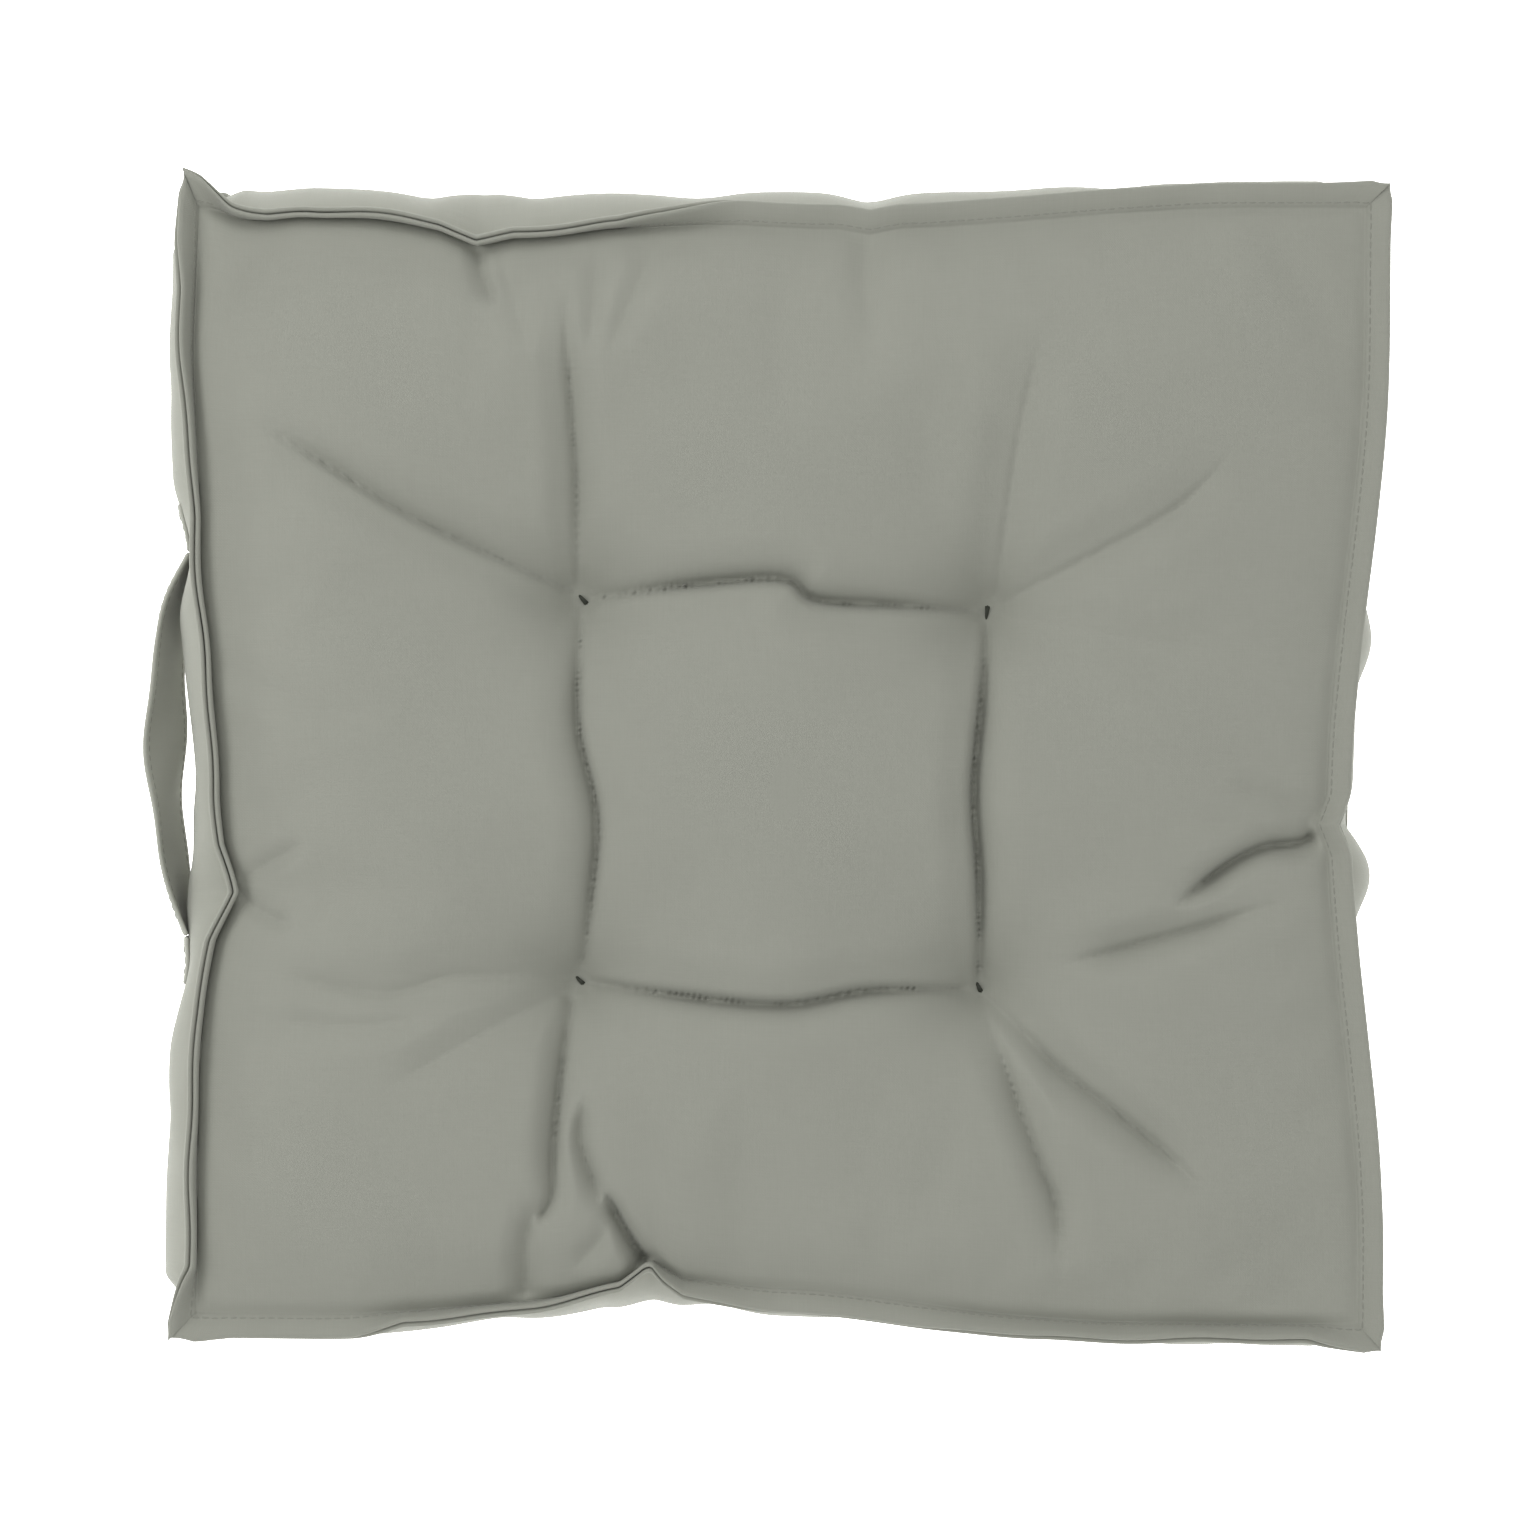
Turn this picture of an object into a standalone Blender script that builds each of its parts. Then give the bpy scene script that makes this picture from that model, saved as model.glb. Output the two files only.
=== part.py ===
"""A square tufted chair seat pad with a boxed edge, two flanged seams and a strap handle.

The pad lies flat on the plane z = 0 with its middle over the origin. +X is its right side, +Y its
back, and the handle hangs on its left side. Sizes are in metres.
"""

import math

import bmesh
import bpy
from mathutils import Matrix, Vector

MM = 0.001

# Cover: a top and a bottom panel, sewn to four boxing strips. Both seams stand out as a flange.
SEAM_WIDTH = 434 * MM  # X, between the side seams
SEAM_DEPTH = 420 * MM  # Y, between the front and back seams
FLANGE = 9 * MM  # how far the flange stands out of its seam
CLOTH = 0.9 * MM
TOP_SEAM_Z = 63 * MM
BOTTOM_SEAM_Z = 12 * MM
CROWN = 19 * MM  # rise of the top panel above its seam
UNDERSIDE_ROLL = 45 * MM  # how far in from the seam the underside meets the ground
BULGE = 6 * MM  # how far the filling pushes the boxing out at half height
GAP = 0.3 * MM  # air between touching pieces
LIP_GAP = 0.8 * MM  # air between the two lips of a flange
CORNER_TRIM = 1.3 * MM  # boxing strips stop this short of the corner line

# Filling: a foam slab between two layers of fibre wadding.
WADDING_LOFT = 9 * MM  # where the pad is thickest

# Tufts: four ties through the whole pad, on a rectangle that sits a little towards the front.
TUFT_PITCH_X = 152 * MM
TUFT_PITCH_Y = 143 * MM
TUFT_CENTRE_Y = -12 * MM
TUFT_TOP_Z = 50 * MM  # height of the top panel under a tie
TUFT_BOTTOM_Z = 18 * MM  # height of the bottom panel over a tie
TUFT_FLAT = 7.2 * MM  # radius that a tie presses flat
TUFT_REACH = 48 * MM  # radius where its pull fades out
TIE_STITCH = 5 * MM  # length of the stitch that shows
TIE_THREAD = 1.0 * MM
TIE_ROOM = 0.4 * MM  # clearance round a tie's leg
TIE_TURNS = {  # how each stitch happens to lie, in degrees from +X
    "back_left": -50,
    "back_right": 80,
    "front_left": -45,
    "front_right": -60,
}

# Sewing thread
THREAD = 0.7 * MM
STITCH_OUT = 2.5 * MM  # from the seam to the row of stitches on the flange
CORNER_THREAD = 0.8 * MM

# Handle: a strap whose two ends are box-stitched to the left boxing.
STRAP_WIDTH = 25 * MM
STRAP_THICK = 1.8 * MM
HANDLE_CENTRE_Y = 5 * MM
HANDLE_SPAN = 124 * MM  # free strap between the sewn ends
HANDLE_END = 22 * MM  # length of each sewn end
HANDLE_OUT = 11 * MM  # how far the middle of the strap stands off the boxing
HANDLE_DROOP = 8 * MM
HANDLE_LEAN = math.radians(15)  # the strap's upper edge leans out
HANDLE_CLEAR = 0.6 * MM
TACK_INSET = 4 * MM  # box stitch from the edges of a sewn end
HEM_INSET = 3 * MM  # hem thread from the edges of the strap
HEM_REACH = 0.94  # how much of the free strap a hem thread covers

# Fineness of the meshes
CELLS_OUTER = 4  # from a tuft to the seam
CELLS_INNER = 3  # from tuft to tuft
BOXING_COLUMNS = 12
BOXING_ROWS = 6
STRAP_COLUMNS = 18
STRAP_ROWS = 4
TUBE_SIDES = 2  # bevel resolution of a thread

HALF_X = SEAM_WIDTH / 2
HALF_Y = SEAM_DEPTH / 2
TUFT_X = TUFT_PITCH_X / 2
TUFT_Y = TUFT_PITCH_Y / 2
WALL_TOP = TOP_SEAM_Z - 2 * CLOTH - LIP_GAP  # underside of the boxing's upper lip
WALL_BOTTOM = BOTTOM_SEAM_Z + 2 * CLOTH + LIP_GAP  # upper side of its lower lip
WALL_MIDDLE = (WALL_TOP + WALL_BOTTOM) / 2
WALL_HALF = (WALL_TOP - WALL_BOTTOM) / 2

TUFTS = {
    "back_left": (-TUFT_X, TUFT_CENTRE_Y + TUFT_Y),
    "back_right": (TUFT_X, TUFT_CENTRE_Y + TUFT_Y),
    "front_left": (-TUFT_X, TUFT_CENTRE_Y - TUFT_Y),
    "front_right": (TUFT_X, TUFT_CENTRE_Y - TUFT_Y),
}
CORNERS = {
    "back_left": (-1, 1),
    "back_right": (1, 1),
    "front_left": (-1, -1),
    "front_right": (1, -1),
}
SIDES = {"right": 0, "back": 90, "left": 180, "front": 270}  # turn about Z, in degrees


# ---------------------------------------------------------------- scene and helpers


def clear_scene():
    for found in list(bpy.data.objects):
        bpy.data.objects.remove(found)


def new_collection(name):
    made = bpy.data.collections.new(name)
    bpy.context.scene.collection.children.link(made)
    return made


def new_material(name, colour, roughness):
    made = bpy.data.materials.new(name)
    made.use_nodes = True
    shader = made.node_tree.nodes["Principled BSDF"]
    shader.inputs["Base Color"].default_value = (*colour, 1)
    shader.inputs["Roughness"].default_value = roughness
    shader.inputs["Metallic"].default_value = 0
    return made


def add_mesh(name, bm, collection, material=None):
    """The bmesh as an object in the collection, with its faces turned outwards."""
    bmesh.ops.recalc_face_normals(bm, faces=bm.faces)
    mesh = bpy.data.meshes.new(name)
    bm.to_mesh(mesh)
    bm.free()
    made = bpy.data.objects.new(name, mesh)
    collection.objects.link(made)
    if material:
        mesh.materials.append(material)
    return made


def add_thread(name, points, diameter, collection, material, cyclic=False):
    """A round thread along the points, with closed ends."""
    curve = bpy.data.curves.new(name, "CURVE")
    curve.dimensions = "3D"
    curve.bevel_depth = diameter / 2
    curve.bevel_resolution = TUBE_SIDES
    curve.use_fill_caps = True
    spline = curve.splines.new("POLY")
    spline.points.add(len(points) - 1)
    for point, place in zip(spline.points, points, strict=True):
        point.co = (*place, 1)
    spline.use_cyclic_u = cyclic
    made = bpy.data.objects.new(name, curve)
    collection.objects.link(made)
    curve.materials.append(material)
    return made


def even_steps(start, end, count):
    return [start + (end - start) * i / count for i in range(count + 1)]


# ---------------------------------------------------------------- the pad's surfaces


def tuft_pull(x, y):
    """1 under a tie, fading to 0 at TUFT_REACH from it."""
    nearest = min(math.hypot(x - tx, y - ty) for tx, ty in TUFTS.values())
    share = min(max((nearest - TUFT_FLAT) / (TUFT_REACH - TUFT_FLAT), 0), 1)
    return (1 - share**2) ** 2


def top_surface(x, y):
    """Height of the outside of the top panel. It is level on the flange."""
    along_x = 1 - min(abs(x) / HALF_X, 1) ** 3
    along_y = 1 - min(abs(y) / HALF_Y, 1) ** 3
    crown = TOP_SEAM_Z + CROWN * along_x * along_y
    pull = tuft_pull(x, y)
    return crown + (TUFT_TOP_Z - crown) * pull


def bottom_surface(x, y):
    """Height of the outside of the bottom panel: flat on the ground, rolling up to its seam."""
    inside = min(HALF_X - abs(x), HALF_Y - abs(y))
    share = 1 - min(max(inside / UNDERSIDE_ROLL, 0), 1)
    roll = BOTTOM_SEAM_Z * share**2
    pull = tuft_pull(x, y)
    return roll + (TUFT_BOTTOM_Z - roll) * pull


def fill_height(x, y):
    """Room for the filling between the two panels."""
    return top_surface(x, y) - bottom_surface(x, y) - 2 * (CLOTH + GAP)


def wadding_thickness(x, y):
    """The wadding is squeezed as much as the whole filling is."""
    full = TOP_SEAM_Z + CROWN - 2 * (CLOTH + GAP)
    return WADDING_LOFT * fill_height(x, y) / full


def grid_lines(tuft, centre, edge, flange):
    """Where the grid's lines cross one axis: evenly between the tufts and out to both edges."""
    low, high = centre - tuft, centre + tuft
    half = TUFT_FLAT / math.sqrt(2)
    lines = even_steps(-edge, low - half, CELLS_OUTER)
    lines += even_steps(low + half, high - half, CELLS_INNER)
    lines += even_steps(high + half, edge, CELLS_OUTER)
    if flange:
        lines = [-edge - flange, *lines, edge + flange]
    return lines


def layer(name, lower, upper, inset, flange, collection, material):
    """A closed layer between two heights given as functions of x and y.

    The heights are taken before the edge is moved in, so that all layers have the same facets.
    """
    xs = grid_lines(TUFT_X, 0, HALF_X, flange)
    ys = grid_lines(TUFT_Y, TUFT_CENTRE_Y, HALF_Y, flange)
    edge_x, edge_y = xs[-1] - inset, ys[-1] - inset
    bm = bmesh.new()
    bmesh.ops.create_grid(bm, x_segments=len(xs) - 1, y_segments=len(ys) - 1, size=1)
    for vertex in bm.verts:
        column = round((vertex.co.x + 1) / 2 * (len(xs) - 1))
        row = round((vertex.co.y + 1) / 2 * (len(ys) - 1))
        vertex.co = (xs[column], ys[row], 0)
    bmesh.ops.triangulate(bm, faces=bm.faces, quad_method="FIXED")
    lifted = bmesh.ops.extrude_face_region(bm, geom=bm.faces[:])["geom"]
    top = {part for part in lifted if isinstance(part, bmesh.types.BMVert)}
    for vertex in bm.verts:
        height = upper if vertex in top else lower
        x, y, _ = vertex.co
        vertex.co = (min(max(x, -edge_x), edge_x), min(max(y, -edge_y), edge_y), height(x, y))
    return add_mesh(name, bm, collection, material)


# ---------------------------------------------------------------- cutters for the ties


def tie_legs(name):
    """The two places where a tie goes down through the pad."""
    x, y = TUFTS[name]
    turn = math.radians(TIE_TURNS[name])
    step = Vector((math.cos(turn), math.sin(turn), 0)) * TIE_STITCH / 2
    return Vector((x, y, 0)) - step, Vector((x, y, 0)) + step


def as_cutter(cutter):
    cutter.hide_render = True
    cutter.display_type = "WIRE"
    return cutter


def needle_holes(collection):
    """One round cutter for each leg of each tie, for the cloth."""
    bm = bmesh.new()
    for name in TUFTS:
        for leg in tie_legs(name):
            bmesh.ops.create_cone(
                bm,
                cap_ends=True,
                segments=8,
                radius1=TIE_THREAD / 2 + TIE_ROOM,
                radius2=TIE_THREAD / 2 + TIE_ROOM,
                depth=3 * TOP_SEAM_Z,
                matrix=Matrix.Translation(leg),
            )
    return as_cutter(add_mesh("needle_holes", bm, collection))


def needle_slots(collection):
    """One slot for each tie, wide enough for both legs, for the filling."""
    bm = bmesh.new()
    length = TIE_STITCH + TIE_THREAD + 2 * TIE_ROOM
    width = TIE_THREAD + 2 * TIE_ROOM
    for name, (x, y) in TUFTS.items():
        place = Matrix.Translation((x, y, 0)) @ Matrix.Rotation(math.radians(TIE_TURNS[name]), 4, "Z")
        size = Matrix.Diagonal((length, width, 3 * TOP_SEAM_Z, 1))
        bmesh.ops.create_cube(bm, size=1, matrix=place @ size)
    return as_cutter(add_mesh("needle_slots", bm, collection))


def cut(piece, cutter):
    modifier = piece.modifiers.new("needle_way", "BOOLEAN")
    modifier.operation = "DIFFERENCE"
    modifier.object = cutter


# ---------------------------------------------------------------- boxing


def wall_point(along, up, out, half_length, half_across):
    """A point of the boxing on the +X side before it is turned to its own side.

    along and up run from -1 to 1 over the wall, and out is a distance off its bulged face.
    """
    bulge = BULGE * (1 - along**4) * (1 - up**2)
    return Vector((half_across + bulge + out, along * half_length, WALL_MIDDLE + up * WALL_HALF))


def boxing_profile():
    """(up, out) of each row, from the lower lip's edge over the wall to the upper lip's edge."""
    wall = [(up, 0) for up in even_steps(-1, 1, BOXING_ROWS)]
    return [(-1, FLANGE), *wall, (1, FLANGE)]


def add_boxing(side, collection, material):
    turned = Matrix.Rotation(math.radians(SIDES[side]), 4, "Z")
    half_length, half_across = (HALF_Y, HALF_X) if SIDES[side] % 180 == 0 else (HALF_X, HALF_Y)
    profile = boxing_profile()
    bm = bmesh.new()
    rows, columns = len(profile) - 1, BOXING_COLUMNS
    bmesh.ops.create_grid(bm, x_segments=columns, y_segments=rows, size=1)
    for vertex in bm.verts:
        up, out = profile[round((vertex.co.y + 1) / 2 * rows)]
        along = vertex.co.x
        place = wall_point(along, up, out, half_length, half_across)
        place.y = along * (half_length + out - CORNER_TRIM)
        vertex.co = turned @ place
    made = add_mesh(f"boxing_{side}", bm, collection, material)
    # An open sheet has no inside, so its faces are turned away from the pad here.
    outward = turned @ Vector((1, 0, 0))
    middle = min(made.data.polygons, key=lambda face: abs(face.center.z - WALL_MIDDLE))
    if middle.normal.dot(outward) < 0:
        made.data.flip_normals()
    solidify = made.modifiers.new("cloth", "SOLIDIFY")
    solidify.thickness = CLOTH
    solidify.offset = -1
    solidify.use_even_offset = True
    return made


def add_corner_seam(name, collection, material):
    """The thread of the upright seam that joins two boxing strips."""
    sign_x, sign_y = CORNERS[name]
    inset = CORNER_THREAD / 2
    x = sign_x * (HALF_X - inset)
    y = sign_y * (HALF_Y - inset)
    low = WALL_BOTTOM + GAP
    high = WALL_TOP - GAP
    points = [(x, y, z) for z in even_steps(low, high, 2)]
    return add_thread(f"corner_seam_{name}", points, CORNER_THREAD, collection, material)


# ---------------------------------------------------------------- stitching


def add_flange_thread(name, z, collection, material):
    """One thread of a row of lockstitches, lying all round the flange."""
    x = HALF_X + STITCH_OUT
    y = HALF_Y + STITCH_OUT
    points = [(-x, -y, z), (x, -y, z), (x, y, z), (-x, y, z)]
    return add_thread(name, points, THREAD, collection, material, cyclic=True)


def add_flange_threads(collection, material):
    lift = THREAD / 2 + GAP
    rows = {
        "top_flange_needle_thread": TOP_SEAM_Z + lift,
        "top_flange_bobbin_thread": WALL_TOP - lift,
        "bottom_flange_bobbin_thread": WALL_BOTTOM + lift,
        "bottom_flange_needle_thread": BOTTOM_SEAM_Z - lift,
    }
    for name, z in rows.items():
        add_flange_thread(name, z, collection, material)


def add_tie(name, collection, material):
    """A loop of twine through the pad, with a short stitch showing on both faces."""
    first, second = tie_legs(name)
    lift = TIE_THREAD / 2 + GAP
    high = TUFT_TOP_Z + lift
    low = TUFT_BOTTOM_Z - lift
    corners = [(first, low), (second, low), (second, high), (first, high)]
    points = [(place.x, place.y, z) for place, z in corners]
    return add_thread(f"tuft_tie_{name}", points, TIE_THREAD, collection, material, cyclic=True)


# ---------------------------------------------------------------- handle


def left_wall(y, z, out):
    """A point at the distance out from the left boxing's bulged face."""
    place = wall_point(y / HALF_Y, (z - WALL_MIDDLE) / WALL_HALF, out, HALF_Y, HALF_X)
    return Vector((-place.x, y, z))


def ribbon(name, columns, place, thick, collection, material):
    """A flat strap: place(along, across) gives its middle surface, both from -1 to 1."""
    bm = bmesh.new()
    bmesh.ops.create_grid(bm, x_segments=columns, y_segments=STRAP_ROWS, size=1)
    for vertex in bm.verts:
        vertex.co = place(vertex.co.x, vertex.co.y)
    made = add_mesh(name, bm, collection, material)
    solidify = made.modifiers.new("webbing", "SOLIDIFY")
    solidify.thickness = thick
    solidify.offset = 0
    return made


# A flat facet of the strap dips this far into the curve of the boxing that it lies on.
STRAP_DIP = BULGE * (STRAP_WIDTH / STRAP_ROWS / WALL_HALF) ** 2 / 4
STRAP_OFF = HANDLE_CLEAR + STRAP_DIP + STRAP_THICK / 2  # its middle off the boxing where it is sewn
STRAP_REACH = HANDLE_SPAN / 2 - GAP


def strap_place(along, across):
    """A point of the free strap. It leaves the boxing at both ends and droops in between."""
    away = math.cos(math.pi / 2 * along) ** 2
    y = HANDLE_CENTRE_Y + along * STRAP_REACH
    sewn = left_wall(y, WALL_MIDDLE + across * STRAP_WIDTH / 2, STRAP_OFF)
    middle = left_wall(y, WALL_MIDDLE, STRAP_OFF + HANDLE_OUT)
    middle.z -= HANDLE_DROOP
    leaning = Vector((-math.sin(HANDLE_LEAN), 0, math.cos(HANDLE_LEAN)))
    return sewn.lerp(middle + leaning * across * STRAP_WIDTH / 2, away)


def front_end_place(along, across):
    """A point of the front sewn end, which lies on the boxing."""
    y = HANDLE_CENTRE_Y - HANDLE_SPAN / 2 - (1 - along) / 2 * HANDLE_END
    return left_wall(y, WALL_MIDDLE + across * STRAP_WIDTH / 2, STRAP_OFF)


def back_end_place(along, across):
    y = HANDLE_CENTRE_Y + HANDLE_SPAN / 2 + (1 + along) / 2 * HANDLE_END
    return left_wall(y, WALL_MIDDLE + across * STRAP_WIDTH / 2, STRAP_OFF)


def on_strap(place, along, across):
    """The middle of a thread that lies on the strap's outer face."""
    step = 0.01
    run = place(along + step, across) - place(along - step, across)
    rise = place(along, across + step) - place(along, across - step)
    lift = STRAP_THICK / 2 + THREAD / 2 + GAP
    return place(along, across) + rise.cross(run).normalized() * lift


def add_handle(collection, strap, thread):
    """The free strap with its two hem threads, and the two ends sewn to the boxing."""
    ribbon("handle_strap", STRAP_COLUMNS, strap_place, STRAP_THICK, collection, strap)
    hem = 1 - 2 * HEM_INSET / STRAP_WIDTH
    alongs = even_steps(-HEM_REACH, HEM_REACH, STRAP_COLUMNS)
    for edge, across in (("upper", hem), ("lower", -hem)):
        points = [on_strap(strap_place, along, across) for along in alongs]
        add_thread(f"handle_hem_{edge}", points, THREAD, collection, thread)
    long = 1 - 2 * TACK_INSET / HANDLE_END
    cross = 1 - 2 * TACK_INSET / STRAP_WIDTH
    box = [(-long, -cross), (long, -cross), (long, 0), (long, cross), (-long, cross), (-long, 0)]
    for side, place in (("front", front_end_place), ("back", back_end_place)):
        ribbon(f"handle_end_{side}", 3, place, STRAP_THICK, collection, strap)
        points = [on_strap(place, along, across) for along, across in box]
        add_thread(f"handle_tack_{side}", points, THREAD, collection, thread, cyclic=True)


# ---------------------------------------------------------------- the whole pad


def add_layers(collection, cloth, wadding, foam, holes, slots):
    """The two panels and the filling between them, each with its ways for the ties."""
    inset = CLOTH + LIP_GAP

    def under_top(x, y):
        return top_surface(x, y) - CLOTH

    def over_bottom(x, y):
        return bottom_surface(x, y) + CLOTH

    def floor(x, y):
        return bottom_surface(x, y) + CLOTH + GAP

    def ceiling(x, y):
        return top_surface(x, y) - CLOTH - GAP

    def lower_wadding(x, y):
        return floor(x, y) + wadding_thickness(x, y)

    def upper_wadding(x, y):
        return ceiling(x, y) - wadding_thickness(x, y)

    def foam_low(x, y):
        return lower_wadding(x, y) + GAP

    def foam_high(x, y):
        return upper_wadding(x, y) - GAP

    cut(layer("top_panel", under_top, top_surface, 0, FLANGE, collection, cloth), holes)
    cut(layer("bottom_panel", bottom_surface, over_bottom, 0, FLANGE, collection, cloth), holes)
    cut(layer("wadding_top", upper_wadding, ceiling, inset, 0, collection, wadding), slots)
    cut(layer("wadding_bottom", floor, lower_wadding, inset, 0, collection, wadding), slots)
    cut(layer("foam_core", foam_low, foam_high, inset, 0, collection, foam), slots)


def build():
    clear_scene()
    pad = new_collection("chair_seat_pad")
    cutters = new_collection("cutters")

    cloth = new_material("cover_cloth", (0.30, 0.305, 0.26), 0.85)
    strap = new_material("strap_cloth", (0.30, 0.305, 0.26), 0.85)
    thread = new_material("sewing_thread", (0.24, 0.245, 0.21), 0.7)
    twine = new_material("tuft_twine", (0.03, 0.033, 0.025), 0.6)
    wadding = new_material("fibre_wadding", (0.85, 0.85, 0.83), 0.95)
    foam = new_material("foam", (0.80, 0.77, 0.62), 0.95)

    holes = needle_holes(cutters)
    slots = needle_slots(cutters)
    add_layers(pad, cloth, wadding, foam, holes, slots)
    for side in SIDES:
        add_boxing(side, pad, cloth)
    for name in CORNERS:
        add_corner_seam(name, pad, thread)
    add_flange_threads(pad, thread)
    for name in TUFTS:
        add_tie(name, pad, twine)
    add_handle(pad, strap, thread)


build()
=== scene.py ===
# %% [markdown]
# # A tufted seat pad with flanged seams
#
# The frame holds the measured parts of a chair seat pad: cover panels, boxing, filling, ties and a
# strap handle. This lesson dresses that frame in cloth. The cover is blown up by a cloth
# simulation, its creases are pressed in afterwards, and both seams get the two standing lips that
# make such a pad look sewn.

# %% The frame and the tools
import math

import bmesh
import bpy
import numpy as np
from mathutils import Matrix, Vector


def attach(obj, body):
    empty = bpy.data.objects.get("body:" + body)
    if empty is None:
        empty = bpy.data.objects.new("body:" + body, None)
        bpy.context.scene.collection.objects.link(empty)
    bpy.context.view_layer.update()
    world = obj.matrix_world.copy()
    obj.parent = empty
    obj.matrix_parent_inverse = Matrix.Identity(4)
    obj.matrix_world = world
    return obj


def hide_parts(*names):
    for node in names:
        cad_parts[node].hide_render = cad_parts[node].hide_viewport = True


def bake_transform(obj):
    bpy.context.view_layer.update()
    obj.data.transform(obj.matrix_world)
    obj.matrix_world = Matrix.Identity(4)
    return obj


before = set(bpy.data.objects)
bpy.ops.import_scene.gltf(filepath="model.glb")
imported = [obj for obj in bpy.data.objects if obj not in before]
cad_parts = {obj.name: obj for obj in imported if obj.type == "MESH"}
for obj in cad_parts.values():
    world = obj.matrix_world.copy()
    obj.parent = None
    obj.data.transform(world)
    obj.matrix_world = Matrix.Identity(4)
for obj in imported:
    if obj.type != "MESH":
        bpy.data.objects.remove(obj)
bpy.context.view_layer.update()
MM = 0.001

# %% [markdown]
# ## Small helpers
#
# Every piece of cloth here starts as a flat grid. `add_grid` makes one with the grid operator and
# then moves each vertex to where an array of positions says. Two vertices that share a place are
# welded, so that a ring closes and a lip joins its panel. A UV map holds each grid's own
# coordinates in metres of cloth, which keeps the weave running with the threads.


# %% Grids, steps and curves
def smooth(value):
    """0 below 0, 1 above 1, and a smooth step in between."""
    value = np.clip(value, 0, 1)
    return value * value * (3 - 2 * value)


def bump(offset, reach):
    """1 at offset 0, falling smoothly to 0 at reach on both sides."""
    return smooth(1 - np.abs(offset) / reach)


def add_grid(bm, places, cloth):
    """Adds a grid of faces to bm. places and cloth are arrays of rows x columns x 3 and x 2."""
    rows, columns = places.shape[0] - 1, places.shape[1] - 1
    made = bmesh.ops.create_grid(bm, x_segments=columns, y_segments=rows, size=1)["verts"]
    layer = bm.loops.layers.uv.verify()
    for vertex, place, spot in zip(made, places.reshape(-1, 3), cloth.reshape(-1, 2), strict=True):
        vertex.co = place
        for loop in vertex.link_loops:
            loop[layer].uv = spot
    return made


def finish_mesh(name, bm, weld=0.0):
    """The bmesh as a smooth-shaded object at the origin."""
    if weld:
        bmesh.ops.remove_doubles(bm, verts=bm.verts, dist=weld)
    bmesh.ops.recalc_face_normals(bm, faces=bm.faces)
    for face in bm.faces:
        face.smooth = True
    mesh = bpy.data.meshes.new(name)
    bm.to_mesh(mesh)
    bm.free()
    made = bpy.data.objects.new(name, mesh)
    bpy.context.scene.collection.objects.link(made)
    return made


def wear(piece, material, body="pad", stands_for=()):
    """Gives a finished piece its material, slot and body, and hides what it stands for."""
    piece.data.materials.clear()
    piece.data.materials.append(material)
    if body:
        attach(piece, body)
    if stands_for:
        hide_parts(*stands_for)
    return piece


# %% [markdown]
# ## The seam line
#
# Both panels are sewn to the boxing along a closed line. A new pad has straight seams, but the
# ties pull the cover in between its corners and leave a few sharp kinks. Each side of the line is
# straight from corner to corner, less a few pulls: how far along, how deep, how wide, how sharp.

# %% Corners, pulls and the seam's points
CELLS = 96  # cells of the simulated grid along each side
CORNER_SHARE = 0.035  # the share of a side over which pulls and bulges fade out at a corner
SEAM_WAVE = 1.2 * MM  # how far a seam rises and falls along each side
TOP_Z = 62 * MM
BOTTOM_Z = 11.5 * MM
TOP_CORNERS = {  # in the order of the ring: front left, front right, back right, back left
    "front_left": (-218 * MM, -206 * MM),
    "front_right": (215 * MM, -210.5 * MM),
    "back_right": (218 * MM, 206 * MM),
    "back_left": (-217 * MM, 206 * MM),
}
BOTTOM_CORNERS = {
    "front_left": (-220 * MM, -208 * MM),
    "front_right": (214 * MM, -212 * MM),
    "back_right": (216 * MM, 205 * MM),
    "back_left": (-214 * MM, 203 * MM),
}
SIDES = ("front", "right", "back", "left")
INWARD = {"front": (0, 1), "right": (-1, 0), "back": (0, -1), "left": (1, 0)}
# where along the side (its X or Y), depth, reach, and 1 for a smooth pull or 2 for a sharp kink
TOP_PULLS = {
    "front": [(-45, 8, 130, 1), (-48, 4.5, 45, 1), (-48, 6.5, 12, 2), (20, 6, 110, 1)],
    "right": [(-15, 13, 170, 1), (-24, 4, 12, 2)],
    "back": [
        (-198, 3.5, 24, 1),
        (-165, 3, 50, 1),
        (-113, 6, 55, 1),
        (-113, 3.5, 14, 2),
        (-85, 6, 75, 1),
        (25, 8, 150, 1),
        (33, 2, 12, 2),
    ],
    "left": [(-20, 8, 110, 1), (-49, 5, 18, 2), (-51, 3, 40, 1), (150, -2, 60, 1)],
}
BOTTOM_PULLS = {
    "front": [(-115, 4, 60, 1), (-48, 8, 50, 1), (20, 7, 150, 1)],
    "right": [(-20, 6, 160, 1)],
    "back": [(-60, 5, 130, 1), (0, -4, 50, 1)],
    "left": [(0, 5, 170, 1)],
}


def corner_fade(share):
    """1 along a side, falling to 0 at its two corners."""
    return smooth(share / CORNER_SHARE) * smooth((1 - share) / CORNER_SHARE)


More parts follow.
